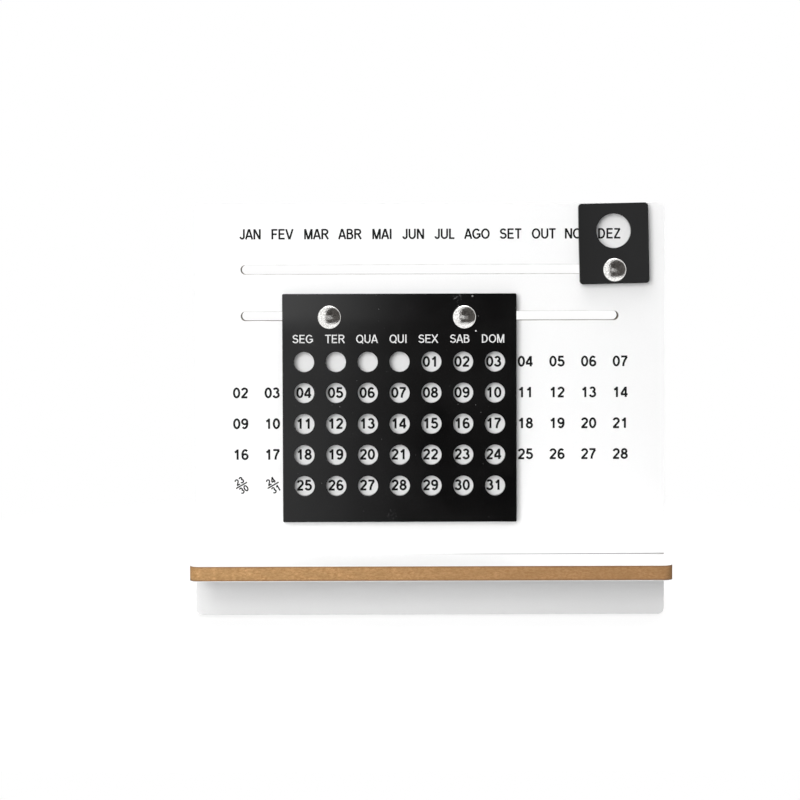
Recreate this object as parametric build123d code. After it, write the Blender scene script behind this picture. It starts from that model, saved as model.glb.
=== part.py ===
from build123d import *
import os

os.makedirs("parts", exist_ok=True)

# A perpetual desk calendar on a low base with one drawer, in millimetres.
# +Z is up, the calendar faces -Y, and the origin is the centre of the deck's outline at desk level.

cutter_overrun = 1.0         # how far a cutter reaches past the sheet that it cuts

# Sheet stock
faced_thickness = 6.4        # fibreboard with white melamine on both faces
thin_thickness = 3.0         # plain fibreboard of the drawer and its case
acrylic_thickness = 3.0

# Width of the deck, the calendar board and the drawer front alike
overall_width = 200.0

# Heights above the desk
foot_height = 1.5
case_height = 15.9           # clear height between the case bottom and the deck
board_height = 150.0         # calendar board above the deck

# Deck, the flat top of the base
deck_depth = 110.0
deck_corner_radius = 4.0
front_ledge = 27.0           # deck in front of the calendar board and of the drawer front
rear_setback = 3.0           # deck beyond the back of the case

# Calendar board
board_corner_radius = 2.6
board_tab_width = 24.0
board_tab_offset = 60.0      # centre of each tab from the middle of the board
mortise_clearance = 0.1      # on every side of a tab

# Slots in the calendar board
slot_length = 160.8
slot_width = 3.9
month_slot_below_top = 28.0
weekday_slot_below_top = 47.8

# Gussets behind the calendar board
gusset_depth = 50.0
gusset_height = 60.0
gusset_tip = 6.0             # blunt end of each acute corner
gusset_tab_length = 20.0

# Drawer case
front_overhang = 5.0         # drawer front beyond each side of the case, the finger pull
front_gap = 0.3              # closed drawer front to the case's front edges
case_tab_length = 12.0
case_tab_inset = 10.0        # from each end of a case side to its tab
finger_count = 3             # fingers in each corner joint

# Drawer
drawer_side_gap = 0.4
drawer_floor_gap = 0.3
drawer_top_gap = 0.8
drawer_back_gap = 5.0
drawer_front_lift = 1.0      # bottom edge of the drawer front above the desk
drawer_front_top_gap = 0.4
drawer_front_bottom_radius = 2.6
drawer_front_top_radius = 0.8

# Screws that hold the drawer front to the drawer box
front_screw_diameter = 3.0
front_screw_head_diameter = 5.6
front_screw_head_height = 1.8
front_screw_offset = 60.0    # from the middle
front_screw_bite = 4.4       # length inside the drawer front
front_screw_clearance = 0.05
front_screw_tip_gap = 0.2
driver_slot_width = 0.8
driver_slot_depth = 0.7

# Feet
foot_diameter = 9.0
foot_inset = 1.5             # from the edges of the case bottom to a foot

# Weekday panel
column_count = 7
row_count = 5
day_pitch_x = 13.5
day_pitch_z = 13.2
day_window_diameter = 8.6
panel_side_margin = 9.15     # outer window centres to the panel's side edges
panel_bottom_margin = 15.4   # last row of windows to the bottom edge
panel_header = 28.9          # first row of windows to the top edge
panel_corner_radius = 0.6
panel_center_x = -12.9       # where the panel stands in its slot at rest
left_post_inset = 20.0       # from the panel's side edges to its posts
right_post_inset = 22.1
panel_post_below_top = 9.9

# Month marker
marker_width = 29.5
marker_height = 34.1
marker_corner_radius = 1.5
month_window_diameter = 14.6
marker_post_above_bottom = 5.9
marker_window_above_post = 16.5
marker_tilt = 1.2            # degrees, anticlockwise from the front, as it hangs at rest
marker_end_gap = 0.2         # month post short of the end of its slot

# Posts that ride in the slots
post_diameter = 3.0
post_bore_diameter = 2.1
post_bore_depth = 7.0
post_hole_clearance = 0.05
post_slot_gap = 0.1          # post above the lower wall of its slot
cap_diameter = 10.0
cap_rim_height = 0.7
cap_dome_height = 1.7
spacer_diameter = 8.0
spacer_thickness = 0.8
washer_diameter = 9.0
washer_thickness = 0.5
slide_play = 0.2             # spacer and washer off the faces of the board
pivot_play = 0.1             # marker off its cap and its spacer
rear_screw_diameter = 2.0
rear_screw_length = 6.0
rear_screw_head_diameter = 8.0
rear_screw_head_height = 1.2
rear_screw_slot_width = 1.2

# Levels and planes worked out from the sizes above
case_bottom_top = foot_height + thin_thickness
deck_bottom = case_bottom_top + case_height
deck_top = deck_bottom + faced_thickness
board_top = deck_top + board_height
board_front = -deck_depth / 2 + front_ledge
board_back = board_front + faced_thickness
case_front = board_back + front_gap
case_back = deck_depth / 2 - rear_setback
case_half_width = overall_width / 2 - front_overhang
month_slot_z = board_top - month_slot_below_top
weekday_slot_z = board_top - weekday_slot_below_top
post_sag = (slot_width - post_diameter) / 2 - post_slot_gap
slot_reach = (slot_length - slot_width) / 2
month_post_x = slot_reach - marker_end_gap
month_post_z = month_slot_z - post_sag
weekday_post_z = weekday_slot_z - post_sag


def block(x, y, z):
    """Return a box from three (low, high) pairs."""
    size = [high - low for low, high in (x, y, z)]
    return Pos(x[0], y[0], z[0]) * Box(*size, align=(Align.MIN, Align.MIN, Align.MIN))


def along_y(shape, x, y, z):
    """Stand a shape built on +Z so that its +Z points to the front, at one place."""
    return Pos(x, y, z) * Rot(90, 0, 0) * shape


def hole_y(x, z, diameter, y):
    """Return a round cutter along Y between a (low, high) pair."""
    return along_y(Cylinder(diameter / 2, y[1] - y[0]), x, sum(y) / 2, z)


def fingers(x, y, z, first):
    """Return every second slice of a corner column, counted up from slice number first."""
    step = (z[1] - z[0]) / finger_count
    slices = [
        block(x, y, (z[0] + i * step, z[0] + (i + 1) * step))
        for i in range(first, finger_count, 2)
    ]
    return Part() + slices


def finger_sheets(half_width, y, z, thickness, with_front):
    """Return left side, right side, back and, if asked, front of a finger-jointed box."""
    left, right = -half_width, half_width
    inner = (left + thickness, right - thickness)
    ends = [(y[1] - thickness, y[1])]
    if with_front:
        ends.append((y[0], y[0] + thickness))
    side_start = y[0] + thickness if with_front else y[0]
    sides = []
    for x in ((left, left + thickness), (right - thickness, right)):
        side = block(x, (side_start, y[1] - thickness), z)
        for end in ends:
            side += fingers(x, end, z, 0)
        sides.append(side)
    crosswise = []
    for end in ends:
        sheet = block(inner, end, z)
        sheet += fingers((left, left + thickness), end, z, 1)
        sheet += fingers((right - thickness, right), end, z, 1)
        crosswise.append(sheet)
    return sides + crosswise


def grown(pair, margin):
    """Widen a (low, high) pair by a margin at both ends."""
    return (pair[0] - margin, pair[1] + margin)


# Tabs that stand in the deck's mortises
board_tabs = [
    ((x - board_tab_width / 2, x + board_tab_width / 2), (board_front, board_back))
    for x in (-board_tab_offset, board_tab_offset)
]
gusset_tab_start = board_back + (gusset_depth - gusset_tab_length) / 2
gusset_tabs = [
    (
        (x - faced_thickness / 2, x + faced_thickness / 2),
        (gusset_tab_start, gusset_tab_start + gusset_tab_length),
    )
    for x in (-board_tab_offset, board_tab_offset)
]


def deck():
    """Return the deck with a mortise for every tab."""
    sheet = block(
        (-overall_width / 2, overall_width / 2),
        (-deck_depth / 2, deck_depth / 2),
        (deck_bottom, deck_top),
    )
    sheet = fillet(sheet.edges().filter_by(Axis.Z), deck_corner_radius)
    for x, y in board_tabs + gusset_tabs:
        sheet -= block(
            grown(x, mortise_clearance),
            grown(y, mortise_clearance),
            grown((deck_bottom, deck_top), cutter_overrun),
        )
    return sheet


def calendar_board():
    """Return the upright board with its two slots and its tabs."""
    sheet = block(
        (-overall_width / 2, overall_width / 2),
        (board_front, board_back),
        (deck_top, board_top),
    )
    corners = sheet.edges().filter_by(Axis.Y).group_by(Axis.Z)[-1]
    sheet = fillet(corners, board_corner_radius)
    slot = extrude(
        Plane.XZ * SlotOverall(slot_length, slot_width), amount=faced_thickness, both=True
    )
    for z in (month_slot_z, weekday_slot_z):
        sheet -= Pos(0, (board_front + board_back) / 2, z) * slot
    for x, y in board_tabs:
        sheet += block(x, y, (deck_bottom, deck_top))
    return sheet


def gusset(tab):
    """Return one gusset, square to the board, with its tab."""
    x, y = tab
    tip = board_back + gusset_depth
    outline = Polyline(
        (board_back, deck_top),
        (tip, deck_top),
        (tip, deck_top + gusset_tip),
        (board_back + gusset_tip, deck_top + gusset_height),
        (board_back, deck_top + gusset_height),
        close=True,
    )
    plate = extrude(Plane.YZ * make_face(outline), amount=faced_thickness)
    return Pos(x[0], 0, 0) * plate + block(x, y, (deck_bottom, deck_top))


case_level = (case_bottom_top, deck_bottom)
case_tabs = [
    (x, y)
    for x in (
        (-case_half_width, -case_half_width + thin_thickness),
        (case_half_width - thin_thickness, case_half_width),
    )
    for y in (
        (case_front + case_tab_inset, case_front + case_tab_inset + case_tab_length),
        (case_back - case_tab_inset - case_tab_length, case_back - case_tab_inset),
    )
]


def case_sheets():
    """Return the case's left side, right side and back, with the sides' tabs."""
    left, right, back = finger_sheets(
        case_half_width, (case_front, case_back), case_level, thin_thickness, False
    )
    for x, y in case_tabs:
        tab = block(x, y, (foot_height, case_bottom_top))
        if x[0] < 0:
            left += tab
        else:
            right += tab
    return left, right, back


def case_bottom():
    """Return the case bottom, with a mortise for every tab of the sides."""
    sheet = block(
        (-case_half_width, case_half_width),
        (case_front, case_back),
        (foot_height, case_bottom_top),
    )
    for x, y in case_tabs:
        sheet -= block(
            x,
            grown(y, mortise_clearance),
            grown((foot_height, case_bottom_top), cutter_overrun),
        )
    return sheet


def feet():
    """Return the four round pads under the case."""
    reach_x = case_half_width - foot_inset - foot_diameter / 2
    reach_y = (case_back - case_front) / 2 - foot_inset - foot_diameter / 2
    middle = (case_front + case_back) / 2
    pad = Cylinder(foot_diameter / 2, foot_height, align=(Align.CENTER, Align.CENTER, Align.MIN))
    places = [(x, middle + y) for x in (-reach_x, reach_x) for y in (-reach_y, reach_y)]
    return Compound(children=[Pos(x, y, 0) * pad for x, y in places])


drawer_half_width = case_half_width - thin_thickness - drawer_side_gap
drawer_y = (board_back, case_back - thin_thickness - drawer_back_gap)
drawer_level = (case_bottom_top + drawer_floor_gap, deck_bottom - drawer_top_gap)
front_screw_z = (drawer_level[0] + thin_thickness + drawer_level[1]) / 2
front_screw_x = (-front_screw_offset, front_screw_offset)
front_screw_bore = front_screw_diameter + 2 * front_screw_clearance


def drawer_bottom():
    """Return the drawer's floor, held between its four walls."""
    reach = drawer_half_width - thin_thickness
    return block(
        (-reach, reach),
        grown(drawer_y, -thin_thickness),
        (drawer_level[0], drawer_level[0] + thin_thickness),
    )


def drawer_front():
    """Return the drawer front, with a blind hole for each screw."""
    sheet = block(
        (-overall_width / 2, overall_width / 2),
        (board_front, board_back),
        (drawer_front_lift, deck_bottom - drawer_front_top_gap),
    )
    low = sheet.edges().filter_by(Axis.Y).group_by(Axis.Z)[0]
    sheet = fillet(low, drawer_front_bottom_radius)
    high = sheet.edges().filter_by(Axis.Y).group_by(Axis.Z)[-1]
    sheet = fillet(high, drawer_front_top_radius)
    deepest = board_back - front_screw_bite - front_screw_tip_gap
    for x in front_screw_x:
        sheet -= hole_y(x, front_screw_z, front_screw_bore, (deepest, board_back))
    return sheet


def drilled_box_front(sheet):
    """Return the drawer's inner front with a clearance hole for each screw."""
    through = grown((board_back, board_back + thin_thickness), cutter_overrun)
    for x in front_screw_x:
        sheet -= hole_y(x, front_screw_z, front_screw_bore, through)
    return sheet


def front_screws():
    """Return the slotted screws that hold the drawer front, driven from inside the drawer."""
    reach = thin_thickness + front_screw_bite
    shank = Pos(0, 0, reach / 2) * Cylinder(front_screw_diameter / 2, reach)
    head = Pos(0, 0, -front_screw_head_height / 2) * Cylinder(
        front_screw_head_diameter / 2, front_screw_head_height
    )
    head = fillet(head.edges().group_by(Axis.Z)[0], front_screw_head_height / 3)
    screw = shank + head
    screw -= Pos(0, 0, -front_screw_head_height) * Box(
        front_screw_head_diameter, driver_slot_width, 2 * driver_slot_depth
    )
    inner_face = board_back + thin_thickness
    return Compound(
        children=[along_y(screw, x, inner_face, front_screw_z) for x in front_screw_x]
    )


# Acrylic planes, counted forward from the board
acrylic_back = board_front - slide_play - spacer_thickness
panel_front = acrylic_back - acrylic_thickness
marker_back = acrylic_back - pivot_play
marker_cap_seat = marker_back - acrylic_thickness - pivot_play
washer_front = board_back + slide_play
washer_back = washer_front + washer_thickness

panel_width = (column_count - 1) * day_pitch_x + 2 * panel_side_margin
panel_height = (row_count - 1) * day_pitch_z + panel_header + panel_bottom_margin
panel_top = weekday_post_z + panel_post_below_top
panel_left = panel_center_x - panel_width / 2
weekday_post_x = (panel_left + left_post_inset, panel_left + panel_width - right_post_inset)
post_hole_diameter = post_diameter + 2 * post_hole_clearance


def weekday_panel():
    """Return the acrylic panel with a round window for each day and a hole for each post."""
    sheet = block(
        (panel_left, panel_left + panel_width),
        (panel_front, acrylic_back),
        (panel_top - panel_height, panel_top),
    )
    sheet = fillet(sheet.edges().filter_by(Axis.Y), panel_corner_radius)
    first_x = panel_left + panel_side_margin
    first_z = panel_top - panel_header
    through = grown((panel_front, acrylic_back), cutter_overrun)
    cutters = [
        hole_y(first_x + column * day_pitch_x, first_z - row * day_pitch_z, day_window_diameter, through)
        for row in range(row_count)
        for column in range(column_count)
    ]
    cutters += [hole_y(x, weekday_post_z, post_hole_diameter, through) for x in weekday_post_x]
    return sheet - cutters


def month_marker():
    """Return the acrylic marker, tilted about its post."""
    low = -marker_post_above_bottom
    sheet = block(
        (-marker_width / 2, marker_width / 2),
        (marker_back - acrylic_thickness, marker_back),
        (low, low + marker_height),
    )
    sheet = fillet(sheet.edges().filter_by(Axis.Y), marker_corner_radius)
    through = grown((marker_back - acrylic_thickness, marker_back), cutter_overrun)
    sheet -= hole_y(0, marker_window_above_post, month_window_diameter, through)
    sheet -= hole_y(0, 0, post_hole_diameter, through)
    return Pos(month_post_x, 0, month_post_z) * Rot(0, -marker_tilt, 0) * sheet


def post_cap(seat):
    """Return a domed cap and its hollow post, seated at one plane and reaching past the washer."""
    length = washer_back - seat
    radius = cap_diameter / 2
    crown = cap_rim_height + cap_dome_height
    side = Polyline(
        (0, post_bore_depth - length),
        (post_bore_diameter / 2, post_bore_depth - length),
        (post_bore_diameter / 2, -length),
        (post_diameter / 2, -length),
        (post_diameter / 2, 0),
        (radius, 0),
        (radius, cap_rim_height),
    )
    sphere = (radius**2 + cap_dome_height**2) / (2 * cap_dome_height)
    half = radius / 2
    half_height = crown - sphere + (sphere**2 - half**2) ** 0.5
    dome = ThreePointArc((radius, cap_rim_height), (half, half_height), (0, crown))
    axis = Line((0, crown), (0, post_bore_depth - length))
    section = make_face(Plane.XZ * (side + dome + axis))
    return revolve(section, Axis.Z)


def ring(outer_diameter, thickness):
    """Return a flat washer that fits the post, rising from its seat."""
    washer = Cylinder(outer_diameter / 2, thickness, align=(Align.CENTER, Align.CENTER, Align.MIN))
    return washer - Cylinder(post_hole_diameter / 2, 3 * thickness)


def rear_screw():
    """Return the slotted screw behind the board, its shank pointing to the front."""
    upward = (Align.CENTER, Align.CENTER, Align.MIN)
    shank = Cylinder(rear_screw_diameter / 2, rear_screw_length, align=upward)
    head = Pos(0, 0, -rear_screw_head_height) * Cylinder(
        rear_screw_head_diameter / 2, rear_screw_head_height, align=upward
    )
    head = fillet(head.edges().group_by(Axis.Z)[0], rear_screw_head_height / 3)
    slot = Pos(0, 0, -rear_screw_head_height) * Box(
        rear_screw_head_diameter, rear_screw_slot_width, rear_screw_head_height
    )
    return shank + head - slot


def post_pieces(name, x, z, seat):
    """Return the four pieces of one post, by node name."""
    spacer_seat = board_front - slide_play
    return {
        f"{name}_post_cap": along_y(post_cap(seat), x, seat, z),
        f"{name}_post_spacer": along_y(ring(spacer_diameter, spacer_thickness), x, spacer_seat, z),
        f"{name}_post_washer": along_y(ring(washer_diameter, washer_thickness), x, washer_back, z),
        f"{name}_post_screw": along_y(rear_screw(), x, washer_back, z),
    }


case_left, case_right, case_rear = case_sheets()
box_left, box_right, box_back, box_front = finger_sheets(
    drawer_half_width, drawer_y, drawer_level, thin_thickness, True
)

nodes = {
    "deck": deck(),
    "calendar_board": calendar_board(),
    "left_gusset": gusset(gusset_tabs[0]),
    "right_gusset": gusset(gusset_tabs[1]),
    "case_left_side": case_left,
    "case_right_side": case_right,
    "case_back": case_rear,
    "case_bottom": case_bottom(),
    "feet": feet(),
    "drawer_front": drawer_front(),
    "drawer_inner_front": drilled_box_front(box_front),
    "drawer_left_side": box_left,
    "drawer_right_side": box_right,
    "drawer_back": box_back,
    "drawer_bottom": drawer_bottom(),
    "drawer_front_screws": front_screws(),
    "weekday_panel": weekday_panel(),
    "month_marker": month_marker(),
}
nodes.update(post_pieces("left", weekday_post_x[0], weekday_post_z, panel_front))
nodes.update(post_pieces("right", weekday_post_x[1], weekday_post_z, panel_front))
nodes.update(post_pieces("month", month_post_x, month_post_z, marker_cap_seat))

for name, shape in nodes.items():
    export_step(shape, f"parts/{name}.step")

print("deck", deck_bottom, deck_top, "board top", board_top, "board front", board_front)
print("drawer inside", drawer_half_width - thin_thickness, grown(drawer_y, -thin_thickness), drawer_level)
print("weekday posts", weekday_post_x, weekday_post_z, "slot reach", slot_reach)
print("weekday travel", -slot_reach - weekday_post_x[0], slot_reach - weekday_post_x[1])
print("month post", month_post_x, month_post_z, "travel", -slot_reach - month_post_x, marker_end_gap)
print("panel", panel_left, panel_left + panel_width, panel_top - panel_height, panel_top)
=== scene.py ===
# %% [markdown]
# # A desk calendar with a drawer, dressed in Blender
#
# The calendar is a white-faced fibreboard stand with a flat drawer under it. Two sliders run in
# slots: a black acrylic panel with 35 windows frames one month's weekdays, and a small black
# marker frames the month. The shapes come from the CAD model; this lesson gives them their
# finishes, turns the chrome caps and prints the lettering.
#
# Every node stays where it is, so all that is made here goes straight to its place in metres.

# %% Load the frame
import math

import bpy
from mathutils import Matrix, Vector


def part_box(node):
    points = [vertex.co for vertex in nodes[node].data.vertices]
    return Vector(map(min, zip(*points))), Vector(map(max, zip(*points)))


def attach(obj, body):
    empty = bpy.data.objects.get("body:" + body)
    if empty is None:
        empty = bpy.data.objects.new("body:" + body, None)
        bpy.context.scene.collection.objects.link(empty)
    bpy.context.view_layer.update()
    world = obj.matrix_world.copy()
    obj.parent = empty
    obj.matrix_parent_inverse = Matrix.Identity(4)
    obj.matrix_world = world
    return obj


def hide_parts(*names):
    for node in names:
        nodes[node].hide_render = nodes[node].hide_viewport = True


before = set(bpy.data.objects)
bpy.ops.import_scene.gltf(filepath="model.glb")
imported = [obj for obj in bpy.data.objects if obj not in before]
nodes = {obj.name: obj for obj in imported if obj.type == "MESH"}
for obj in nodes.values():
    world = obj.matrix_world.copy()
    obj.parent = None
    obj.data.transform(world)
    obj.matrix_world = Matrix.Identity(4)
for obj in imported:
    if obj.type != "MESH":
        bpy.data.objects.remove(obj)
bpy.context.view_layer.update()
mm = 0.001

# %% [markdown]
# ## The camera
#
# The photograph is taken from the front, at about arm's length, with the calendar low in the
# picture. A product photographer keeps the camera almost level so that upright lines stay
# upright, and lowers the picture with the lens shift; a slight tilt down does the rest.

# %% Camera
camera_place = Vector((-12.53, -778.0, 157.7)) * mm
camera_tilt_down = math.radians(1.805)
camera_roll = math.radians(0.167)
picture_pixels = 800
lens_pixels = 1761.5
sensor_width = 36.0

camera_data = bpy.data.cameras.new("camera")
camera_data.sensor_width = sensor_width
camera_data.lens = sensor_width * lens_pixels / picture_pixels
camera_data.shift_y = -0.12
camera = bpy.data.objects.new("camera", camera_data)
bpy.context.scene.collection.objects.link(camera)
camera.location = camera_place
camera.rotation_euler = (math.radians(90) - camera_tilt_down, camera_roll, 0.0)
bpy.context.scene.camera = camera
print("lens in mm:", round(camera_data.lens, 1))

# %% [markdown]
# ## Small helpers for shader nodes
#
# Every finish below is a tree of a few nodes. Writing `nodes.new` and `links.new` each time
# hides the idea, so a few helpers do it: they add a node, set or link its sockets, and hand back
# the output that the next node needs. Colours are written as 0 to 255 screen values and turned
# linear here, because Blender's shaders work in linear light.

# %% Colours and sockets
def screen_colour(red, green, blue):
    """A linear RGBA colour from 0-255 screen values."""
    linear = []
    for value in (red, green, blue):
        share = value / 255
        linear.append(share / 12.92 if share <= 0.04045 else ((share + 0.055) / 1.055) ** 2.4)
    return (*linear, 1.0)


def grey(level):
    """A linear grey of a level from 0 to 1."""
    return (level, level, level, 1.0)


def plug(tree, socket, value):
    """Links another node's output into a socket, or sets the socket's own value."""
    if isinstance(value, bpy.types.NodeSocket):
        tree.links.new(value, socket)
    else:
        socket.default_value = value


print("screen grey 188 is linear", round(screen_colour(188, 188, 188)[0], 3))


# %% Nodes that calculate
def add(tree, kind, **sockets):
    """A new shader node with the named sockets set or linked."""
    made = tree.nodes.new("ShaderNode" + kind)
    for name, value in sockets.items():
        plug(tree, made.inputs[name.replace("_", " ")], value)
    return made


def calc(tree, operation, *values):
    """The output of a Math node on numbers or other outputs."""
    made = tree.nodes.new("ShaderNodeMath")
    made.operation = operation
    for socket, value in zip(made.inputs, values):
        plug(tree, socket, value)
    return made.outputs[0]


def ramp(tree, value, low, high, to_low=0.0, to_high=1.0):
    """A smooth step: to_low where value is below low, to_high where it is above high."""
    made = tree.nodes.new("ShaderNodeMapRange")
    made.interpolation_type = "SMOOTHSTEP"
    for name, number in (("From Min", low), ("From Max", high), ("To Min", to_low), ("To Max", to_high)):
        made.inputs[name].default_value = number
    plug(tree, made.inputs["Value"], value)
    return made.outputs["Result"]


def mix(tree, amount, first, second):
    """The colour between two colours, by amount."""
    made = tree.nodes.new("ShaderNodeMix")
    made.data_type = "RGBA"
    for socket, value in ((made.inputs[0], amount), (made.inputs[6], first), (made.inputs[7], second)):
        plug(tree, socket, value)
    return made.outputs[2]


def distance_to(tree, place, point):
    """How far each point of a surface is from one point."""
    away = tree.nodes.new("ShaderNodeVectorMath")
    away.operation = "DISTANCE"
    plug(tree, away.inputs[0], place)
    away.inputs[1].default_value = point
    return away.outputs["Value"]


# %% Nodes that make a finish
def new_finish(name, **sockets):
    """A new material: its node tree, its main shader and its Object coordinates."""
    material = bpy.data.materials.new(name)
    material.use_nodes = True
    tree = material.node_tree
    shader = tree.nodes["Principled BSDF"]
    for socket, value in sockets.items():
        shader.inputs[socket.replace("_", " ")].default_value = value
    place = tree.nodes.new("ShaderNodeTexCoord").outputs["Object"]
    return material, tree, shader, place


def noise(tree, place, scale, detail=3.0, roughness=0.55, stretch=(1.0, 1.0, 1.0)):
    """Cloudy noise of 0 to 1; stretch squeezes it along an axis into fibres or brush marks."""
    mapping = add(tree, "Mapping", Vector=place)
    mapping.inputs["Scale"].default_value = stretch
    made = add(tree, "TexNoise", Vector=mapping.outputs[0], Scale=scale, Detail=detail, Roughness=roughness)
    return made.outputs["Fac"]


def relief(tree, shader, height, depth):
    """A fine relief on the surface: depth is the height in metres that 1 stands for."""
    made = add(tree, "Bump", Height=height, Distance=depth)
    tree.links.new(made.outputs["Normal"], shader.inputs["Normal"])


print("shader helpers are ready")

# %% [markdown]
# ## The floor
#
# The calendar stands on a sheet of white paper. A plain plane would do, but lit paper renders
# grey in places, and the picture wants clean white round the object. So the paper glows a
# little, for the camera and in reflections only: it lights nothing, and near the object enough
# of the real paper shows to keep the shadow.

# %% Floor
bpy.ops.object.select_all(action="DESELECT")
floor_front = -0.25
floor_back = 1.6
floor_half_width = 1.4
bpy.ops.mesh.primitive_plane_add(size=1.0, location=(0.0, (floor_front + floor_back) / 2, 0.0))
floor = bpy.context.active_object
floor.name = "floor"
floor.scale = (2 * floor_half_width, floor_back - floor_front, 1.0)
bpy.ops.object.transform_apply(location=True, rotation=True, scale=True)

shadow_edge = 0.18
clean_edge = 0.36
near_share, far_share = 0.62, 1.0
near_strength, far_strength = 1.42, 1.0
floor_paper, tree, shader, place = new_finish("floor_paper", Roughness=0.9, Specular_IOR_Level=0.1)
speckle = noise(tree, place, 350.0)
tree.links.new(mix(tree, speckle, grey(0.44), grey(0.48)), shader.inputs["Base Color"])
from_middle = distance_to(tree, place, (0.0, 0.0, 0.0))
light_path = tree.nodes.new("ShaderNodeLightPath")
only_seen = calc(tree, "MAXIMUM", light_path.outputs["Is Camera Ray"], light_path.outputs["Is Glossy Ray"])
only_seen = calc(tree, "MAXIMUM", only_seen, light_path.outputs["Is Transmission Ray"])
glow_share = ramp(tree, from_middle, shadow_edge, clean_edge, near_share, far_share)
glow_strength = ramp(tree, from_middle, shadow_edge, clean_edge, near_strength, far_strength)
white_glow = add(tree, "Emission", Color=grey(1.0), Strength=glow_strength)
blend = tree.nodes.new("ShaderNodeMixShader")
plug(tree, blend.inputs[0], calc(tree, "MULTIPLY", glow_share, only_seen))
tree.links.new(shader.outputs[0], blend.inputs[1])
tree.links.new(white_glow.outputs[0], blend.inputs[2])
tree.links.new(blend.outputs[0], tree.nodes["Material Output"].inputs["Surface"])
floor.data.materials.append(floor_paper)
print("floor in metres:", [round(size, 2) for size in floor.dimensions])

# %% [markdown]
# ## Finding a place in the room
#
# Black acrylic and chrome have no look of their own: they show the room. A photograph of a room
# could be wrapped round the scene, but a room built from nodes needs no file and each light in it
# can be moved by a number. The direction of a ray gives two angles, sideways from the front and
# upward from level, and a few helpers turn those into walls and openings.

# %% Angles in the room
world = bpy.data.worlds.new("studio")
bpy.context.scene.world = world
world.use_nodes = True
room_tree = world.node_tree
direction = room_tree.nodes.new("ShaderNodeTexCoord").outputs["Generated"]
split = add(room_tree, "SeparateXYZ", Vector=direction)
ahead = calc(room_tree, "MULTIPLY", split.outputs["Y"], -1.0)
sideways = calc(room_tree, "ARCTAN2", split.outputs["X"], ahead)
upward = calc(room_tree, "ARCSINE", split.outputs["Z"])


def angle_step(angle, low, high, to_low=0.0, to_high=1.0):
    """A smooth step between two angles in degrees."""
    return ramp(room_tree, angle, math.radians(low), math.radians(high), to_low, to_high)


def strip(middle, half_width, soft):
    """1 in an upright strip of the room at an angle sideways from the front, in degrees."""
    away = calc(room_tree, "ABSOLUTE", calc(room_tree, "SUBTRACT", sideways, math.radians(middle)))
    return angle_step(away, half_width, half_width + soft, 1.0, 0.0)


def facing(towards, narrow, wide):
    """1 within the angle narrow of a direction, 0 outside the angle wide, in degrees."""
    dot = room_tree.nodes.new("ShaderNodeVectorMath")
    dot.operation = "DOT_PRODUCT"
    plug(room_tree, dot.inputs[0], direction)
    dot.inputs[1].default_value = Vector(towards).normalized()
    return ramp(room_tree, dot.outputs["Value"], math.cos(math.radians(wide)), math.cos(math.radians(narrow)))


print("room helpers are ready")

# %% [markdown]
# ## The room
#
# The photographer's side of the room is dark, which makes the acrylic black and gives the chrome
# its dark heart. To the left stands a bright wall. A lit doorway beside the camera lays the soft
# sheen on the panel's left side, and a gap on the other side greys the marker. Both openings are
# low: the flat sheets mirror only what is level with them, while a domed cap mirrors the whole
# room, and a tall opening would cut its dark heart in two.

# %% The room in the gloss
doorway_low, doorway_high = 0.75, 1.5
gap_light = 0.6
bright_wall = 1.3
far_walls = 1.1
shadows = (0.018, 0.016, 0.015, 1.0)
clutter = (0.15, 0.142, 0.135, 1.0)

cloudy = ramp(room_tree, noise(room_tree, direction, 9.0, detail=5.0, roughness=0.65), 0.35, 0.65)
dark_side = mix(room_tree, cloudy, shadows, clutter)
doorway = mix(room_tree, angle_step(upward, -2.6, -2.2), grey(doorway_low), grey(doorway_high))
opening = calc(room_tree, "MULTIPLY", angle_step(upward, -11, -9), angle_step(upward, 2, 4, 1.0, 0.0))
in_doorway = calc(room_tree, "MULTIPLY", opening, strip(-5.8, 1.6, 5.7))
in_gap = calc(room_tree, "MULTIPLY", opening, strip(8.0, 1.5, 3.0))
dark_side = mix(room_tree, in_doorway, dark_side, doorway)
dark_side = mix(room_tree, in_gap, dark_side, grey(gap_light))
dark_side = mix(room_tree, angle_step(sideways, -22, -17, 1.0, 0.0), dark_side, grey(bright_wall))
room = mix(room_tree, facing((0.33, -1.0, 0.02), 40, 48), grey(far_walls), dark_side)
print("brightest place in the room:", max(doorway_high, bright_wall, far_walls))

# %% [markdown]
# ## The world
#
# The room is there for glossy rays only. The camera, and rays through clear material, see plain
# white, and all else gets a low even light, so that the lamps shape the object.

# %% World
even_light = 0.12
light_path = room_tree.nodes.new("ShaderNodeLightPath")
lit = mix(room_tree, light_path.outputs["Is Glossy Ray"], grey(even_light), room)
seen_straight = calc(room_tree, "MAXIMUM", light_path.outputs["Is Camera Ray"],
                     light_path.outputs["Is Transmission Ray"])
backdrop = room_tree.nodes["Background"]
room_tree.links.new(mix(room_tree, seen_straight, lit, grey(1.0)), backdrop.inputs["Color"])
print("world nodes:", len(room_tree.nodes))

# %% [markdown]
# ## The lamps
#
# Four large soft lamps stand round the table: a key light at the upper left, which makes the
# left side of the board the brightest, a broad light from the front that reaches into the
# windows, one from above for the ledge, and one from behind that shows the back. Area lamps are
# right here, because a large lamp gives the soft shadow edges of a studio. The two in front stay
# out of the gloss, where they would be square spots on every cap.

# %% Lamps
calendar_middle = Vector((0.0, -20.0, 90.0)) * mm


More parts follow.
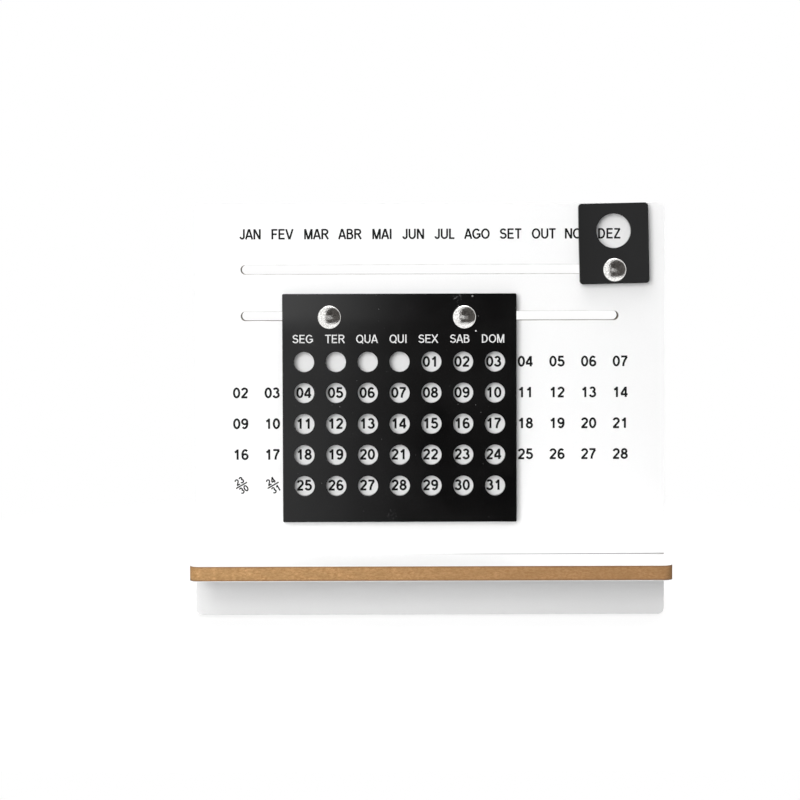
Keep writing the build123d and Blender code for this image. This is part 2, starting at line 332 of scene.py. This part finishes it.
def soft_light(name, towards_light, distance, size, power, in_gloss=True):
    """A square area light in a direction from the calendar's middle, turned to face it."""
    lamp_data = bpy.data.lights.new(name, "AREA")
    lamp_data.shape = "SQUARE"
    lamp_data.size = size
    lamp_data.energy = power
    lamp = bpy.data.objects.new(name, lamp_data)
    bpy.context.scene.collection.objects.link(lamp)
    away = Vector(towards_light).normalized()
    lamp.location = calendar_middle + away * distance
    lamp.rotation_euler = (-away).to_track_quat("-Z", "Y").to_euler()
    lamp.visible_glossy = in_gloss


soft_light("key_light", (-0.55, -1.0, 0.8), 0.95, 0.6, 1.7, in_gloss=False)
soft_light("front_light", (-0.28, -1.0, 0.2), 1.0, 0.6, 7.7, in_gloss=False)
soft_light("top_light", (-0.1, -0.15, 1.0), 1.2, 1.0, 11.5)
soft_light("back_light", (0.5, 1.0, 0.45), 1.3, 0.8, 8.0)
bpy.context.scene.view_settings.view_transform = "Standard"
print("lamps:", [lamp.name for lamp in bpy.data.lights])

# %% [markdown]
# ## Rounding the CAD edges
#
# The CAD nodes have knife-sharp edges, and their meshes are loose triangles. A Weld modifier
# joins the triangles and a narrow Bevel gives each edge the small round that catches the light.
# Both are modifiers, so the CAD mesh itself stays as it is.

# %% Edge rounding
sharp_angle = math.radians(40)


def soften(name, width, material):
    """Rounds a CAD node's sharp edges and gives it its material."""
    node = nodes[name]
    weld = node.modifiers.new("weld", "WELD")
    weld.merge_threshold = 0.001 * mm
    bevel = node.modifiers.new("edge_rounding", "BEVEL")
    bevel.width = width
    bevel.segments = 2
    bevel.limit_method = "ANGLE"
    bevel.angle_limit = sharp_angle
    node.data.materials.clear()
    node.data.materials.append(material)


print("CAD nodes to dress:", len(nodes))

# %% [markdown]
# ## White-faced fibreboard
#
# The stand is cut from 6 mm fibreboard with a white melamine skin on both faces. The skin is
# only 0.2 mm thick, so every cut shows the raw tan core between two white lines. The finish
# works the same way: it reads how far a point lies from the sheet's middle plane, and paints the
# core where that is less than the core's half thickness. A laser cuts the outline, which browns
# the core towards both faces and leaves a thin smoky rim round the narrow slots.

# %% Distance from a slot
slot_heights = (148.8 * mm, 129.0 * mm)
slot_half_length = 80.4 * mm
slot_half_width = 1.95 * mm


def slot_distance(tree, place, slot_height):
    """How far a point of the board is outside a round-ended slot's edge; negative inside it."""
    split = add(tree, "SeparateXYZ", Vector=place)
    past_straight = calc(tree, "SUBTRACT", calc(tree, "ABSOLUTE", split.outputs["X"]),
                         slot_half_length - slot_half_width)
    along = calc(tree, "MAXIMUM", past_straight, 0.0)
    across = calc(tree, "SUBTRACT", split.outputs["Z"], slot_height)
    squares = calc(tree, "ADD", calc(tree, "MULTIPLY", along, along), calc(tree, "MULTIPLY", across, across))
    return calc(tree, "SUBTRACT", calc(tree, "SQRT", squares), slot_half_width)


print("slots at heights in mm:", [round(height / mm, 1) for height in slot_heights])

# %% [markdown]
# ## The raw core
#
# The core is pressed wood dust: short fibres in darker and lighter clumps, squeezed flat across
# the sheet's thickness. One noise could stand for both, but two at different scales read as
# fibreboard from near and from far.

# %% The raw core
cut_left = -120.0 * mm
cut_right = 100.0 * mm
scorch_depth = 1.0 * mm
dark_fibre = screen_colour(158, 118, 74)
light_fibre = screen_colour(204, 163, 115)
clump_brown = screen_colour(158, 124, 82)
shaded_brown = screen_colour(138, 98, 64)
scorched_brown = screen_colour(112, 84, 66)


def raw_core(tree, place, split, sheet_axis, off_middle, core_half):
    """The tan fibres of a cut edge, browned by the laser towards both faces; also their relief."""
    squeeze = [1.0, 1.0, 1.0]
    squeeze[sheet_axis] = 2.2
    fibres = noise(tree, place, 620.0, detail=5.0, roughness=0.7, stretch=squeeze)
    clumps = noise(tree, place, 110.0, stretch=squeeze)
    tan = mix(tree, ramp(tree, fibres, 0.3, 0.7), dark_fibre, light_fibre)
    tan = mix(tree, ramp(tree, clumps, 0.35, 0.65, 0.0, 0.5), tan, clump_brown)
    # Painted shade: every cut edge darkens towards the right, away from the key light.
    tan = mix(tree, ramp(tree, split.outputs["X"], cut_left, cut_right, 0.0, 0.5), tan, shaded_brown)
    scorch = ramp(tree, off_middle, core_half - scorch_depth, core_half, 0.0, 0.65)
    return mix(tree, scorch, tan, scorched_brown), fibres, clumps


print("the cut darkens from x to x in mm:", round(cut_left / mm), round(cut_right / mm))

# %% [markdown]
# ## The white skin
#
# Now the whole sheet: skin outside, core inside. Painting it by distance from the middle plane
# needs no seams and no second object, and it stays right when the sheet gets another outline.
# The board also gets the smoke round its slots and a painted contact shadow along the line where it meets the
# deck.

# %% The white skin
skin = 0.2 * mm
skin_blur = 0.03 * mm
contact_shadow_low, contact_shadow_high = 0.35 * mm, 0.65 * mm
contact_shadow_left, contact_shadow_right = -20.0 * mm, 90.0 * mm
contact_shadow_grey = screen_colour(150, 148, 146)
slot_smoke = screen_colour(150, 143, 136)
burnt_grey = screen_colour(112, 102, 92)


def faced_board(name, sheet_axis, slots=(), foot=None, shade_scale=1.0):
    """Melamine skins over a tan core, for a flat node; foot is the height of a glued lower edge, along which
    a contact shadow is painted, and the last argument dims the white as painted shade.
    """
    low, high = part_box(name)
    middle = (low[sheet_axis] + high[sheet_axis]) / 2
    core_half = (high[sheet_axis] - low[sheet_axis]) / 2 - skin
    material, tree, shader, place = new_finish(name + "_board", Specular_IOR_Level=0.3)
    split = add(tree, "SeparateXYZ", Vector=place)
    off_middle = calc(tree, "ABSOLUTE", calc(tree, "SUBTRACT", split.outputs[sheet_axis], middle))
    core = ramp(tree, off_middle, core_half - skin_blur, core_half + skin_blur, 1.0, 0.0)
    tan, fibres, clumps = raw_core(tree, place, split, sheet_axis, off_middle, core_half)
    fine = noise(tree, place, 1400.0, detail=2.0)
    white = mix(tree, fine, grey(0.87 * shade_scale), grey(0.9 * shade_scale))
    for slot_height in slots:
        outside = slot_distance(tree, place, slot_height)
        burnt = ramp(tree, outside, 0.2 * mm, 0.5 * mm, 1.0, 0.0)
        tan = mix(tree, burnt, tan, burnt_grey)
        smoke = calc(tree, "MULTIPLY", ramp(tree, outside, 0.02 * mm, 0.3 * mm, 0.6, 0.0),
                     ramp(tree, clumps, 0.3, 0.6, 0.35, 1.0))
        white = mix(tree, smoke, white, slot_smoke)
    # Painted contact shadow: a grey line on the board's face just above the deck, darker towards the right.
    if foot is not None:
        contact_shadow_line = calc(tree, "MULTIPLY",
                         ramp(tree, split.outputs["Z"], foot + contact_shadow_low, foot + contact_shadow_high, 1.0, 0.0),
                         ramp(tree, split.outputs["X"], contact_shadow_left, contact_shadow_right, 0.15, 0.95))
        white = mix(tree, contact_shadow_line, white, contact_shadow_grey)
    tree.links.new(mix(tree, core, white, tan), shader.inputs["Base Color"])
    tree.links.new(ramp(tree, core, 0.0, 1.0, 0.5, 0.85), shader.inputs["Roughness"])
    height = calc(tree, "ADD", calc(tree, "MULTIPLY", fibres, core), calc(tree, "MULTIPLY", fine, 0.06))
    relief(tree, shader, height, 0.12 * mm)
    return material


print("skin in mm:", round(skin / mm, 2))

# %% [markdown]
# ## Dressing the white sheets
#
# The sheets lie across different axes and have their middle planes in different places, so each
# gets a finish of its own from the one recipe. The drawer's front is a touch less white, as painted
# shade under the deck's ledge, and the board alone has slots and a glued foot with a painted shadow.

# %% Dress the white sheets
x_axis, y_axis, z_axis = 0, 1, 2
sheet_edge = 0.12 * mm
for name, axis in (("deck", z_axis), ("left_gusset", x_axis), ("right_gusset", x_axis)):
    soften(name, sheet_edge, faced_board(name, axis))
# Painted shade: the drawer's front stands under the deck's ledge, so its white is dimmed.
soften("drawer_front", sheet_edge, faced_board("drawer_front", y_axis, shade_scale=0.9))
deck_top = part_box("deck")[1].z
soften("calendar_board", sheet_edge, faced_board("calendar_board", y_axis, slot_heights, deck_top))
print("deck top at mm:", round(deck_top / mm, 1))

# %% [markdown]
# ## Plain fibreboard
#
# The drawer and its case are never seen from the front, so they are bare fibreboard without the
# white skin: short tangled fibres, pressed flat. One finish does for all nine pieces, because
# noise on Object coordinates gives each its own stretch of the same board.

# %% Plain fibreboard
plain_board, tree, shader, place = new_finish("plain_fibreboard", Roughness=0.8)
fibres = noise(tree, place, 420.0, detail=5.0, roughness=0.7)
clouds = noise(tree, place, 28.0, detail=2.0)
tan = mix(tree, ramp(tree, fibres, 0.3, 0.7), screen_colour(160, 124, 86), screen_colour(196, 162, 122))
tan = mix(tree, ramp(tree, clouds, 0.35, 0.65, 0.0, 0.4), tan, screen_colour(176, 140, 100))
tree.links.new(tan, shader.inputs["Base Color"])
relief(tree, shader, fibres, 0.1 * mm)
plain_pieces = ("case_left_side", "case_right_side", "case_back", "case_bottom", "drawer_inner_front",
                "drawer_left_side", "drawer_right_side", "drawer_back", "drawer_bottom")
for name in plain_pieces:
    soften(name, 0.1 * mm, plain_board)
print("plain pieces:", len(plain_pieces))

# %% [markdown]
# ## Black acrylic
#
# Cast acrylic is almost a black mirror. What makes it look real is what lies on it: a faint
# grease film that changes the gloss in clouds, single grains of dust, and a few smudges where
# fingers push the panel. The grains are the rare high tops of a fine noise, and each smudge is
# a patch of noise round one point. A smudge or speck is written as its x and z, its reach in
# millimetres and its grey.

# %% Acrylic
clean_black = (0.0022, 0.0022, 0.0024, 1.0)
filmed_black = (0.0045, 0.0045, 0.0047, 1.0)
acrylic, tree, shader, place = new_finish("black_acrylic", IOR=1.49)
dust = noise(tree, place, 900.0, detail=1.0, roughness=0.4)
film = noise(tree, place, 34.0, roughness=0.6)
black = mix(tree, ramp(tree, film, 0.4, 0.7), clean_black, filmed_black)
black = mix(tree, ramp(tree, dust, 0.79, 0.83, 0.0, 0.5), black, grey(0.3))
panel_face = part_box("weekday_panel")[0].y
smudges = ((11.9, 136.9, 2.6, 0.16), (-16.0, 44.5, 3.4, 0.04), (-9.0, 131.0, 5.0, 0.012))
specks = ((18.1, 137.5, 0.45, 0.25), (19.5, 122.7, 0.4, 0.8),
          (12.2, 133.4, 0.3, 0.12), (62.0, 142.5, 0.3, 0.1))


def near(x, z, reach, core):
    """1 round a spot on the front of the panel and 0 outside its reach, all in millimetres."""
    away = distance_to(tree, place, (x * mm, panel_face, z * mm))
    return ramp(tree, away, core * reach * mm, reach * mm, 1.0, 0.0)


smudge_noise = ramp(tree, noise(tree, place, 1100.0, detail=4.0, roughness=0.7), 0.5, 0.72)
for x, z, reach, level in smudges:
    black = mix(tree, calc(tree, "MULTIPLY", near(x, z, reach, 0.3), smudge_noise), black, grey(level))
for x, z, reach, level in specks:
    black = mix(tree, near(x, z, reach, 0.6), black, grey(level))
tree.links.new(black, shader.inputs["Base Color"])
tree.links.new(ramp(tree, film, 0.35, 0.7, 0.03, 0.07), shader.inputs["Roughness"])
for name in ("weekday_panel", "month_marker"):
    soften(name, 0.1 * mm, acrylic)
print("smudges and specks:", len(smudges), len(specks))

# %% [markdown]
# ## Steel, nylon and rubber
#
# The small hardware has three plain finishes. The screws are zinc-plated steel, the spacers and
# washers matt nylon, and the feet soft rubber pads. Three colours alone would look like toys
# close by, so one function gives each finish a fine grain in colour and relief.

# %% Hardware
def grained(name, dark, light, scale, depth, **sockets):
    """A finish with a fine grain between two colours, and the same grain as relief."""
    material, tree, shader, place = new_finish(name, **sockets)
    grain = noise(tree, place, scale)
    tree.links.new(mix(tree, grain, dark, light), shader.inputs["Base Color"])
    relief(tree, shader, grain, depth)
    return material


steel = grained("plated_steel", (0.5, 0.5, 0.49, 1.0), (0.68, 0.68, 0.66, 1.0), 1500.0, 0.02 * mm,
                Roughness=0.28, Metallic=1.0)
nylon = grained("nylon", (0.74, 0.74, 0.7, 1.0), (0.82, 0.82, 0.79, 1.0), 1200.0, 0.02 * mm, Roughness=0.5)
pad_rubber = grained("soft_pad", (0.6, 0.6, 0.58, 1.0), (0.72, 0.72, 0.7, 1.0), 800.0, 0.02 * mm,
                     Roughness=0.35)
posts = ("left_post", "right_post", "month_post")
for name in ("drawer_front_screws", *(post + "_screw" for post in posts)):
    soften(name, 0.08 * mm, steel)
for post in posts:
    soften(post + "_spacer", 0.06 * mm, nylon)
    soften(post + "_washer", 0.06 * mm, nylon)
soften("feet", 0.3 * mm, pad_rubber)
print("posts:", posts)

# %% [markdown]
# ## Chrome
#
# The caps are chrome-plated. A perfect mirror would be quick, but cheap plating isn't one: it has
# a fine orange-peel grain, which breaks up the edges of all that it mirrors.

# %% Chrome
chrome, tree, shader, place = new_finish("chrome_plate", Roughness=0.07, Metallic=1.0)
dull_chrome = (0.68, 0.67, 0.65, 1.0)
bright_chrome = (0.95, 0.94, 0.92, 1.0)
pits = noise(tree, place, 1500.0, roughness=0.65)
plate = mix(tree, ramp(tree, pits, 0.35, 0.62), dull_chrome, bright_chrome)
tree.links.new(plate, shader.inputs["Base Color"])
relief(tree, shader, pits, 0.06 * mm)
print("chrome nodes:", len(tree.nodes))

# %% [markdown]
# ## Drawing a line by hand
#
# Both the caps and the lettering start as a drawn line. By hand, that is one vertex pulled out
# again and again with Extrude. The vertex is a tiny plane whose corners are merged.

# %% Line helpers
def start_piece(name):
    """A new empty mesh object at the origin, alone selected, in edit mode."""
    bpy.ops.object.select_all(action="DESELECT")
    bpy.ops.object.add(type="MESH", enter_editmode=True)
    piece = bpy.context.active_object
    piece.name = name
    return piece


def pull_line(points):
    """In edit mode: one vertex, pulled from point to point into a line of edges."""
    bpy.ops.mesh.primitive_plane_add(size=1.0 * mm, location=points[0])
    bpy.ops.mesh.merge(type="CENTER")
    for start, end in zip(points, points[1:]):
        bpy.ops.mesh.extrude_region_move(TRANSFORM_OT_translate={"value": Vector(end) - Vector(start)})


def turned_point(centre, radius, angle):
    """A point on a circle, by an angle in degrees from its front, the way a lathe tool swings."""
    turn = math.radians(angle)
    return (centre[0] + radius * math.sin(turn), centre[1] - radius * math.cos(turn), 0.0)


print("line helpers are ready")

# %% [markdown]
# ## Turned chrome caps
#
# Each post ends in a shallow dome, pressed and plated, with a rounded rim. The CAD cap has the
# right size but a faceted dome, and chrome shows every facet. So half of the cap's outline is
# drawn once and spun round the post's line, as on a lathe. The rim's arc starts where its tangent
# meets the dome's, so the reflection runs over it without a kink. The three caps are alike, so
# one is modelled here and copied in the next step.

# %% One cap
cap_low, cap_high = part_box("left_post_cap")
cap_radius = (cap_high.x - cap_low.x) / 2
cap_length = cap_high.y - cap_low.y
cap_seat = panel_face - cap_low.y
post_radius = 1.5 * mm
dome_radius = 11.0 * mm
rim_round = 0.7 * mm
edge_break = 0.1 * mm

rim_angle = math.degrees(math.asin((cap_radius - rim_round) / (dome_radius - rim_round)))
rim_middle = turned_point((0.0, dome_radius), dome_radius - rim_round, rim_angle)
dome_steps = 10
rim_steps = 6
outline = [turned_point((0.0, dome_radius), dome_radius, rim_angle * step / dome_steps)
           for step in range(dome_steps + 1)]
outline += [turned_point(rim_middle, rim_round, rim_angle + (90 - rim_angle) * step / rim_steps)
            for step in range(1, rim_steps + 1)]
outline += [(cap_radius, cap_seat - edge_break, 0.0), (cap_radius - edge_break, cap_seat, 0.0),
            (post_radius, cap_seat, 0.0), (post_radius, cap_length, 0.0), (0.0, cap_length, 0.0)]

cap_model = start_piece("cap_model")
pull_line(outline)
bpy.ops.mesh.select_all(action="SELECT")
bpy.ops.mesh.spin(steps=48, angle=math.tau, center=(0.0, 0.0, 0.0), axis=(0.0, 1.0, 0.0))
bpy.ops.mesh.select_all(action="SELECT")
bpy.ops.mesh.remove_doubles(threshold=0.002 * mm)
bpy.ops.mesh.normals_make_consistent(inside=False)
bpy.ops.object.mode_set(mode="OBJECT")
bpy.ops.object.shade_smooth_by_angle(angle=math.radians(50))
cap_model.data.materials.append(chrome)
print("cap radius and length in mm:", round(cap_radius / mm, 2), round(cap_length / mm, 2))

# %% [markdown]
# ## A cap on each post
#
# A copy with its own mesh can be moved and then applied, which leaves the object at the origin
# and its place in its mesh. The marker turns freely under its cap, so that post is a little
# longer than the other two, and each copy is stretched to the length of the CAD cap it replaces.

# %% A cap on each post
def own_copy(model, name):
    """A copy of a model with a mesh of its own."""
    copy = model.copy()
    copy.data = model.data.copy()
    copy.name = name
    bpy.context.scene.collection.objects.link(copy)
    return copy


for name, replaced, body in (("left_chrome_cap", "left_post_cap", "weekday_slider"),
                             ("right_chrome_cap", "right_post_cap", "weekday_slider"),
                             ("month_chrome_cap", "month_post_cap", "month_slider")):
    low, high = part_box(replaced)
    cap = own_copy(cap_model, name)
    cap.location = ((low.x + high.x) / 2, low.y, (low.z + high.z) / 2)
    cap.scale.y = (high.y - low.y) / cap_length
    bpy.ops.object.select_all(action="DESELECT")
    cap.select_set(True)
    bpy.context.view_layer.objects.active = cap
    bpy.ops.object.transform_apply(location=True, rotation=True, scale=True)
    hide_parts(replaced)
    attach(cap, body)
    print(name, "length in mm:", round(cap.dimensions.y / mm, 2))
bpy.data.objects.remove(cap_model)

# %% [markdown]
# ## A plain stroke alphabet
#
# The calendar's numbers and names are screen-printed in a plain sans-serif. A text object is the
# usual way, but its built-in face is wider than this print, so each sign is drawn as a pen would
# go: its advance to the next sign, then its strokes, in units of the capital height. Round
# parts are arcs, and the rest are the few points where the pen turns.

# %% Arcs
def arc(cx, cy, rx, ry, start, end):
    """Points along an ellipse, from one angle to another in degrees."""
    steps = max(3, round(abs(end - start) / 15))
    points = []
    for step in range(steps + 1):
        turn = math.radians(start + (end - start) * step / steps)
        points.append((cx + rx * math.cos(turn), cy + ry * math.sin(turn)))
    return points


def turned_over(strokes, width):
    """The same strokes turned by half a turn, as a nine is a six."""
    return [[(width - x, 1.0 - y) for x, y in stroke] for stroke in strokes]


print("points of a full circle:", len(arc(0.0, 0.0, 1.0, 1.0, 0, 360)))

# %% Digits
six = [arc(0.38, 0.305, 0.235, 0.235, 0, 360), arc(0.395, 0.5, 0.26, 0.43, 48, 200)]
signs = {
    "0": (0.75, [arc(0.37, 0.5, 0.245, 0.43, 0, 360)]),
    "1": (0.75, [[(0.43, 0), (0.43, 1)], [(0.43, 0.93), (0.33, 0.80), (0.17, 0.70)]]),
    "2": (0.75, [arc(0.365, 0.70, 0.235, 0.23, 170, -40) + [(0.12, 0.06)], [(0.06, 0.07), (0.63, 0.07)]]),
    "3": (0.75, [arc(0.345, 0.735, 0.205, 0.195, 160, -90), arc(0.35, 0.30, 0.25, 0.235, 90, -165)]),
    "4": (0.75, [[(0.50, 0), (0.50, 1)], [(0.47, 0.93), (0.08, 0.30)], [(0.04, 0.265), (0.68, 0.265)]]),
    "5": (0.75, [[(0.61, 0.93), (0.215, 0.93), (0.155, 0.50)], arc(0.36, 0.33, 0.255, 0.26, 140, -160)]),
    "6": (0.75, six),
    "7": (0.75, [[(0.07, 0.93), (0.64, 0.93)], [(0.61, 0.90), (0.42, 0.60), (0.30, 0.30), (0.265, 0)]]),
    "8": (0.75, [arc(0.37, 0.735, 0.195, 0.195, 0, 360), arc(0.37, 0.29, 0.24, 0.22, 0, 360)]),
    "9": (0.75, turned_over(six, 0.74)),
}
print("digits drawn:", len(signs))

# %% Letters and the fraction bar
signs |= {
    "A": (0.72, [[(0.06, 0), (0.345, 1)], [(0.375, 1), (0.66, 0)], [(0.15, 0.30), (0.57, 0.30)]]),
    "B": (0.71, [[(0.13, 0), (0.13, 1)],
                 [(0.13, 0.93), *arc(0.36, 0.745, 0.19, 0.185, 90, -90), (0.13, 0.56)],
                 [*arc(0.38, 0.30, 0.22, 0.23, 90, -90), (0.13, 0.07)]]),
    "D": (0.77, [[(0.13, 0), (0.13, 1)], [(0.13, 0.93), *arc(0.32, 0.5, 0.30, 0.43, 90, -90), (0.13, 0.07)]]),
    "E": (0.71, [[(0.13, 0), (0.13, 1)], [(0.13, 0.93), (0.62, 0.93)], [(0.13, 0.52), (0.58, 0.52)],
                 [(0.13, 0.07), (0.63, 0.07)]]),
    "F": (0.65, [[(0.13, 0), (0.13, 1)], [(0.13, 0.93), (0.60, 0.93)], [(0.13, 0.50), (0.54, 0.50)]]),
    "G": (0.83, [arc(0.41, 0.5, 0.32, 0.43, 40, 325) + [(0.715, 0.25), (0.715, 0.46), (0.43, 0.46)]]),
    "I": (0.30, [[(0.15, 0), (0.15, 1)]]),
    "J": (0.53, [[(0.41, 1), (0.41, 0.28), *arc(0.245, 0.26, 0.165, 0.19, 0, -180)]]),
    "L": (0.59, [[(0.13, 1), (0.13, 0)], [(0.13, 0.07), (0.55, 0.07)]]),
    "M": (0.88, [[(0.13, 0), (0.13, 1)], [(0.15, 1), (0.43, 0)],
                 [(0.45, 0), (0.73, 1)], [(0.75, 1), (0.75, 0)]]),
    "N": (0.77, [[(0.13, 0), (0.13, 1)], [(0.15, 0.97), (0.62, 0.03)], [(0.64, 1), (0.64, 0)]]),
    "O": (0.83, [arc(0.41, 0.5, 0.32, 0.43, 0, 360)]),
    "Q": (0.83, [arc(0.41, 0.5, 0.32, 0.43, 0, 360), [(0.50, 0.22), (0.74, -0.03)]]),
    "R": (0.77, [[(0.13, 0), (0.13, 1)], [(0.13, 0.93), *arc(0.42, 0.72, 0.20, 0.21, 90, -90), (0.13, 0.51)],
                 [(0.40, 0.49), (0.68, 0)]]),
    "S": (0.71, [arc(0.36, 0.725, 0.225, 0.205, 20, 270), arc(0.355, 0.295, 0.25, 0.225, 90, -165)]),
    "T": (0.66, [[(0.33, 0), (0.33, 0.93)], [(0.03, 0.93), (0.63, 0.93)]]),
    "U": (0.77, [[(0.13, 1), (0.13, 0.36), *arc(0.385, 0.36, 0.255, 0.29, 180, 360), (0.64, 1)]]),
    "V": (0.71, [[(0.05, 1), (0.34, 0)], [(0.37, 0), (0.66, 1)]]),
    "X": (0.71, [[(0.05, 1), (0.66, 0)], [(0.64, 1), (0.04, 0)]]),
    "Z": (0.65, [[(0.07, 0.93), (0.60, 0.93)], [(0.56, 0.93), (0.09, 0.07)], [(0.05, 0.07), (0.63, 0.07)]]),
    "_": (2.0, [[(0.0, 0.5), (2.0, 0.5)]]),
}
print("signs drawn:", len(signs))

# %% [markdown]
# ## Cutting a sign in ink
#
# A sign's lines are pulled out towards the viewer into upright ribbons, and a Solidify modifier
# gives the ribbons the pen's width on both sides, which leaves a thin closed layer of ink. The
# fronts of crossing strokes lie a hair apart, because two faces in the very same plane flicker
# in a render. A sign is made the first time that a word needs it, and then copied.

# %% One sign
ink_layer = 0.03 * mm
stroke_step = 0.07
sign_models = {}


def sign_model(sign, pen):
    """The one model of a sign for a pen: a unit high and a unit thick, its back at y 0."""
    if (sign, pen) not in sign_models:
        model = start_piece("sign_model")
        for index, stroke in enumerate(signs[sign][1]):
            pull_line([(x, stroke_step * (index % 3), z) for x, z in stroke])
        bpy.ops.mesh.select_all(action="SELECT")
        bpy.ops.mesh.remove_doubles(threshold=1.0 * mm)
        bpy.ops.mesh.extrude_region_move(TRANSFORM_OT_translate={"value": (0.0, -1.0, 0.0)})
        bpy.ops.object.mode_set(mode="OBJECT")
        width = model.modifiers.new("pen_width", "SOLIDIFY")
        width.thickness = pen
        width.offset = 0.0
        width.use_even_offset = True
        bpy.ops.object.modifier_apply(modifier=width.name)
        bpy.ops.object.mode_set(mode="EDIT")
        bpy.ops.mesh.select_all(action="SELECT")
        bpy.ops.mesh.normals_make_consistent(inside=False)
        bpy.ops.object.mode_set(mode="OBJECT")
        sign_models[sign, pen] = model
    return sign_models[sign, pen]


print("faces of one zero:", len(sign_model("0", 0.2).data.polygons))


# %% [markdown]
# ## Setting a word
#
# A word is a row of copied signs. Printers centre a word either by its ink, which looks right
# for a name, or by its advances, which keeps columns of figures in line, so both ways are here.
# The signs of a print are joined into one piece, because they are one layer of ink.

# %% A word of signs
def set_word(word, x, z, height, pen, widen=1.0, turn=0.0, by_ink=True):
    """Copies of a word's signs, centred on a point by their ink or by their advances."""
    starts = []
    start = 0.0
    for sign in word:
        starts.append(start)
        start += signs[sign][0]
    inked = [begin + point[0] for begin, sign in zip(starts, word)
             for stroke in signs[sign][1] for point in stroke]
    middle = (min(inked) + max(inked)) / 2 if by_ink else start / 2
    copies = []
    for begin, sign in zip(starts, word):
        copy = own_copy(sign_model(sign, pen), "sign")
        along = (begin - middle) * height * widen
        up = -height / 2
        copy.scale = (height * widen, ink_layer, height)
        copy.rotation_euler = (0.0, -turn, 0.0)
        copy.location = (x + along * math.cos(turn) - up * math.sin(turn), 0.0,
                         z + along * math.sin(turn) + up * math.cos(turn))
        copies.append(copy)
    return copies


def printed(name, copies, surface_y, ink, body):
    """Joins a print's signs into one piece on an upright face."""
    bpy.ops.object.select_all(action="DESELECT")
    for copy in copies:
        copy.location.y = surface_y
        copy.select_set(True)
    bpy.context.view_layer.objects.active = copies[0]
    bpy.ops.object.transform_apply(location=True, rotation=True, scale=True)
    bpy.ops.object.join()
    piece = bpy.context.active_object
    piece.name = name
    piece.data.materials.append(ink)
    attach(piece, body)
    print(name, "signs:", len(copies), "faces:", len(piece.data.polygons))


board_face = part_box("calendar_board")[0].y
print("board's face at y in mm:", round(board_face / mm, 2))

# %% [markdown]
# ## Inks
#
# Screen ink is matt and lies unevenly on a smooth face. The two inks are a deep black for the
# board and an off-white for the acrylic, each with a fine mottle.

# %% Inks
black_ink = grained("black_ink", grey(0.003), grey(0.01), 1800.0, 0.004 * mm, Roughness=0.6,
                    Specular_IOR_Level=0.2)
white_ink = grained("white_ink", grey(0.62), grey(0.78), 1800.0, 0.004 * mm, Roughness=0.55)
print("inks:", black_ink.name, white_ink.name)

# %% [markdown]
# ## The month names
#
# Twelve short names stand in a row over the upper slot, where the marker's window frames one.
# Their spacing was set on the real print, so each has its own place.

# %% Month names
month_height = 4.36 * mm
month_line = 163.9 * mm
months = {"JAN": -76.3, "FEV": -62.5, "MAR": -48.0, "ABR": -33.8, "MAI": -20.2, "JUN": -6.9,
          "JUL": 6.6, "AGO": 20.2, "SET": 34.7, "OUT": 48.8, "NOV": 62.9, "DEZ": 76.7}
copies = []
for word, x in months.items():
    copies += set_word(word, x * mm, month_line, month_height, 0.168, 1.05)
printed("month_names", copies, board_face, black_ink, "stand")

# %% [markdown]
# ## The days
#
# The days stand in a grid as wide as the slot, under whatever place the panel is pushed to. Its
# window grid has the same pitch, so any seven neighbouring columns read as one month. A loop
# over the rows sets them all, from each row's first column and its first and last day.

# %% Day numbers
day_rows = ((0, 6, 1, 7), (1, 0, 2, 14), (2, 0, 9, 21), (3, 0, 16, 28), (4, 2, 25, 31))
column_pitch = 13.5 * mm
row_pitch = 13.2 * mm
first_column = -80.7 * mm
first_row = 109.5 * mm
digit_height = 4.42 * mm
digit_pen = 0.196


def cell(column, row):
    """The middle of a day's place in the grid that the windows move over."""
    return first_column + column_pitch * column, first_row - row_pitch * row


copies = []
for row, row_start, first_day, last_day in day_rows:
    for day in range(first_day, last_day + 1):
        x, z = cell(row_start + day - first_day, row)
        copies += set_word(f"{day:02d}", x, z, digit_height, digit_pen, 1.03, by_ink=False)
printed("day_numbers", copies, board_face, black_ink, "stand")

# %% [markdown]
# ## The double days
#
# The first two cells of the last row hold two days each, one over the other with a bar between,
# like a fraction. Both days and the bar share one slant, so the turn is given to the word's
# helper and the upper and lower day step away from the bar at a right angle to it.

# %% Double days
slant = math.radians(30)
small_height = 2.7 * mm
small_pen = 0.21
bar_offset = 2.0 * mm
bar_shift = 0.15 * mm
copies = []
for column, upper, lower in ((0, "23", "30"), (1, "24", "31")):
    x, z = cell(column, 4)
    x += bar_shift
    away_x = bar_offset * math.sin(slant)
    away_z = bar_offset * math.cos(slant)
    copies += set_word(upper, x - away_x, z + away_z, small_height, small_pen, 1.0, slant)
    copies += set_word("_", x, z, small_height, small_pen, 1.0, slant)
    copies += set_word(lower, x + away_x, z - away_z, small_height, small_pen, 1.0, slant)
printed("double_days", copies, board_face, black_ink, "stand")

# %% [markdown]
# ## The weekday names
#
# The weekdays are printed on the panel, so they ride with it. They are a little smaller than the
# months and drawn with a lighter pen, because white ink on black looks bolder than it is.

# %% Weekday names
weekday_height = 3.6 * mm
weekday_line = 119.45 * mm
weekdays = {"SEG": -53.9, "TER": -40.3, "QUA": -26.6, "QUI": -13.5, "SEX": -0.6, "SAB": 12.7, "DOM": 26.8}
copies = []
for word, x in weekdays.items():
    copies += set_word(word, x * mm, weekday_line, weekday_height, 0.13, 1.12)
printed("weekday_names", copies, panel_face, white_ink, "weekday_slider")

# %% Clear the sign models
print("sign models used:", len(sign_models))
for model in sign_models.values():
    bpy.data.objects.remove(model)
